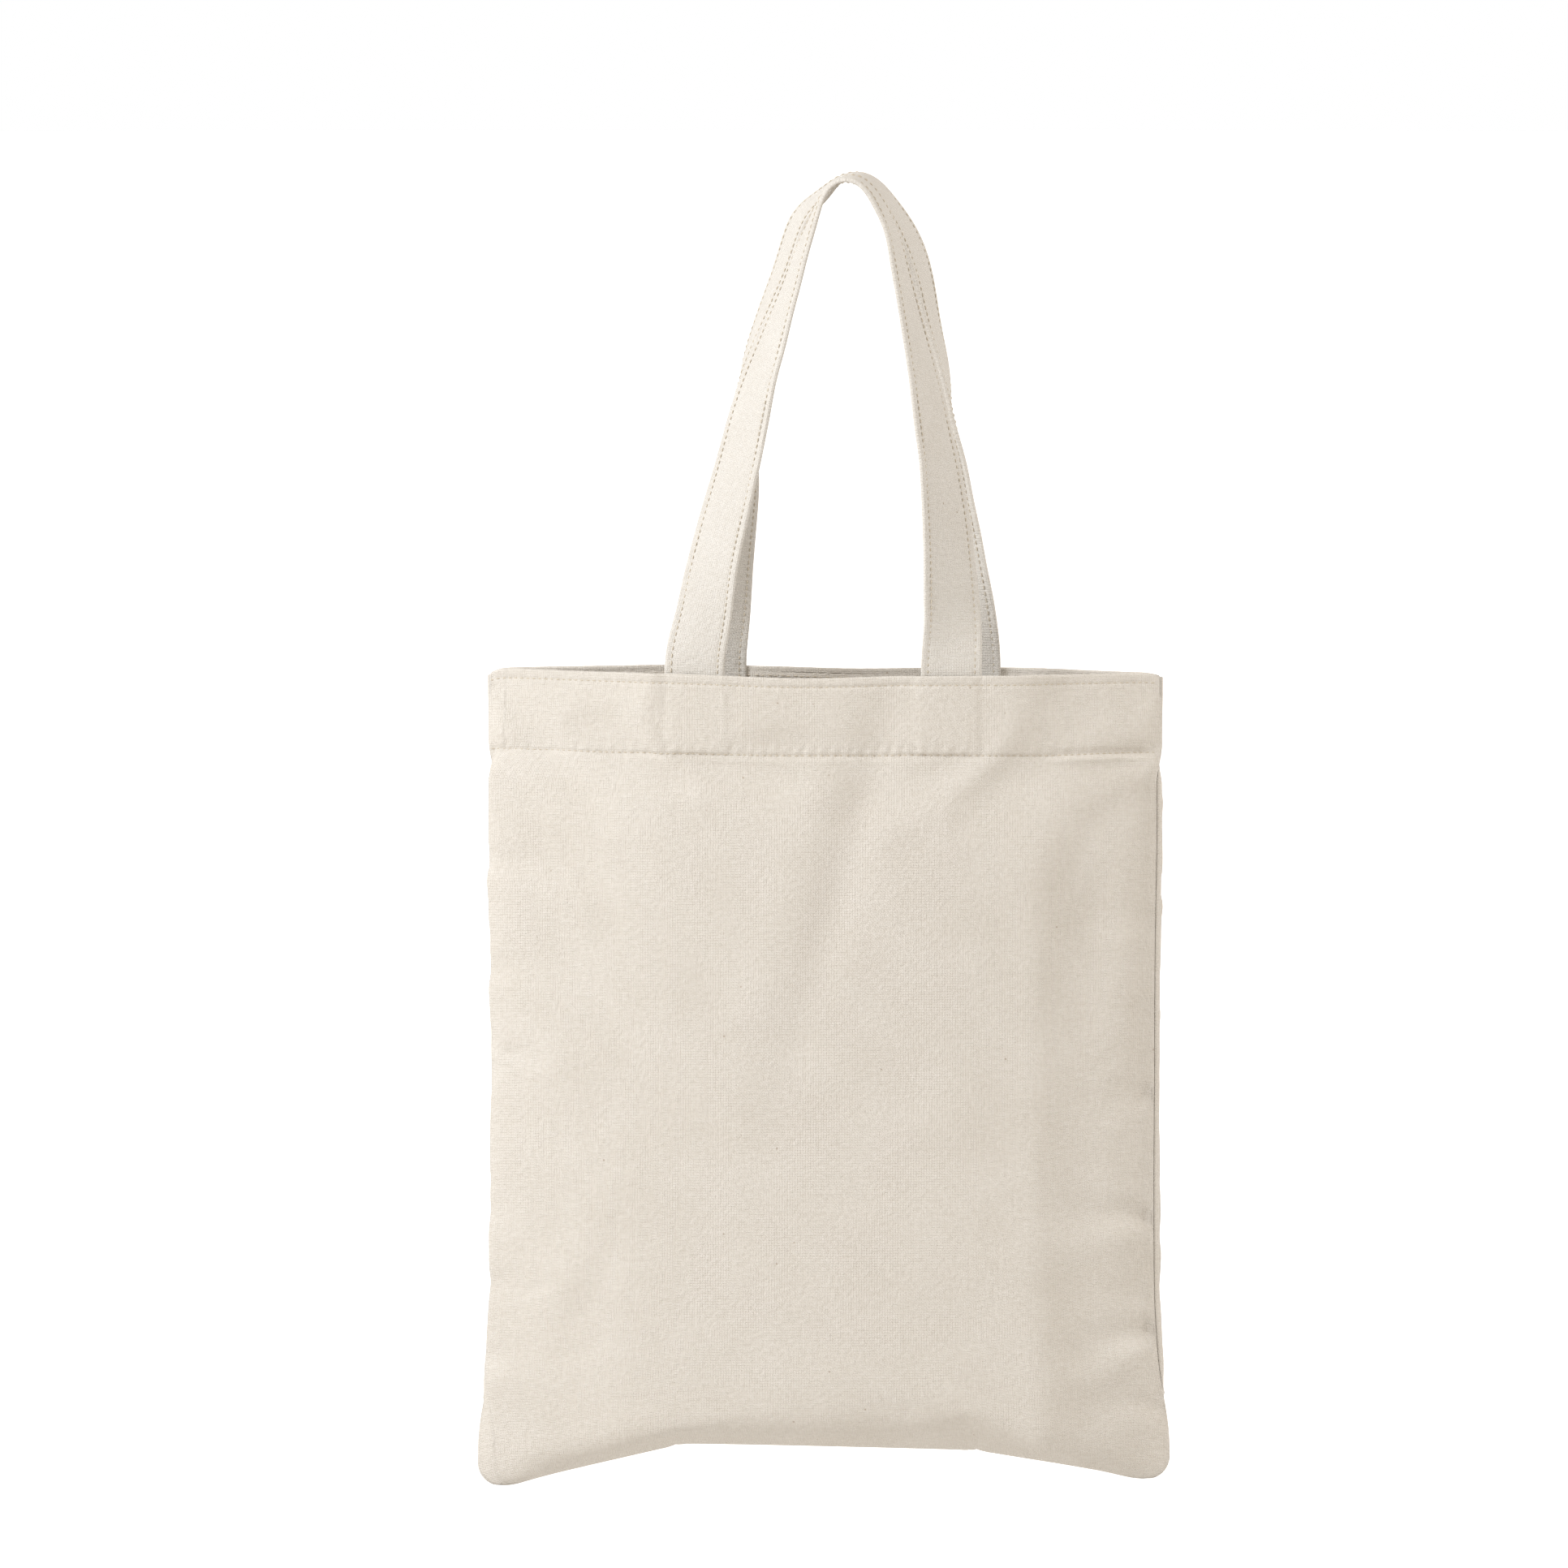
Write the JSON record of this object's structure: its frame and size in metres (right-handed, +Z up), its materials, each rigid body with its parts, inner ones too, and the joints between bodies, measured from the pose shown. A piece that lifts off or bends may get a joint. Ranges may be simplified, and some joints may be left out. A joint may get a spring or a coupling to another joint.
{
  "type": "tote bag",
  "caption": "Flat-sewn canvas tote bag with an open mouth, a turned hem and two strap handles, hanging by both handles from one point.",
  "frame": {"origin": "the hanging point: midway between the two handles' bights, level with their undersides, where they bear on a peg", "axes": "+Z up, along the longest extent; +X to the right of someone facing the front panel; +Y towards the back panel, along the shortest extent"},
  "size_m": [0.342, 0.066, 0.6501],
  "materials": {
    "canvas": "natural unbleached cotton canvas, plain weave, matte",
    "strap": "folded strap of the same canvas, matte",
    "overlock": "overlocked raw edges of the same canvas",
    "thread": "natural cotton sewing thread"
  },
  "bodies": {
    "back": {"back_panel": "canvas", "back_hem": "canvas", "back_rim_thread": "thread", "back_hem_thread": "thread", "back_strap_left_end": "strap", "back_strap_right_end": "strap", "left_side_seam": "overlock", "right_side_seam": "overlock", "bottom_seam": "overlock"},
    "front": {"front_panel": "canvas", "front_hem": "canvas", "front_rim_thread": "thread", "front_hem_thread": "thread", "front_strap_left_end": "strap", "front_strap_right_end": "strap"},
    "front_handle": {"front_handle": "strap", "front_handle_thread_a": "thread", "front_handle_thread_b": "thread"},
    "back_handle": {"back_handle": "strap", "back_handle_thread_a": "thread", "back_handle_thread_b": "thread"}
  },
  "joints": [
    {"name": "mouth_open", "type": "hinge", "parent": "back", "child": "front", "pos_m": [-0.013, 0, -0.6475], "axis": [1, 0, 0], "range_deg": [0, 12]},
    {"name": "front_handle_swing", "type": "hinge", "parent": "front", "child": "front_handle", "pos_m": [-0.012, -0.029, -0.2435], "axis": [1, 0, 0], "range_deg": [0, 165]},
    {"name": "back_handle_swing", "type": "hinge", "parent": "back", "child": "back_handle", "pos_m": [-0.008, 0.029, -0.2435], "axis": [-1, 0, 0], "range_deg": [0, 165]}
  ]
}
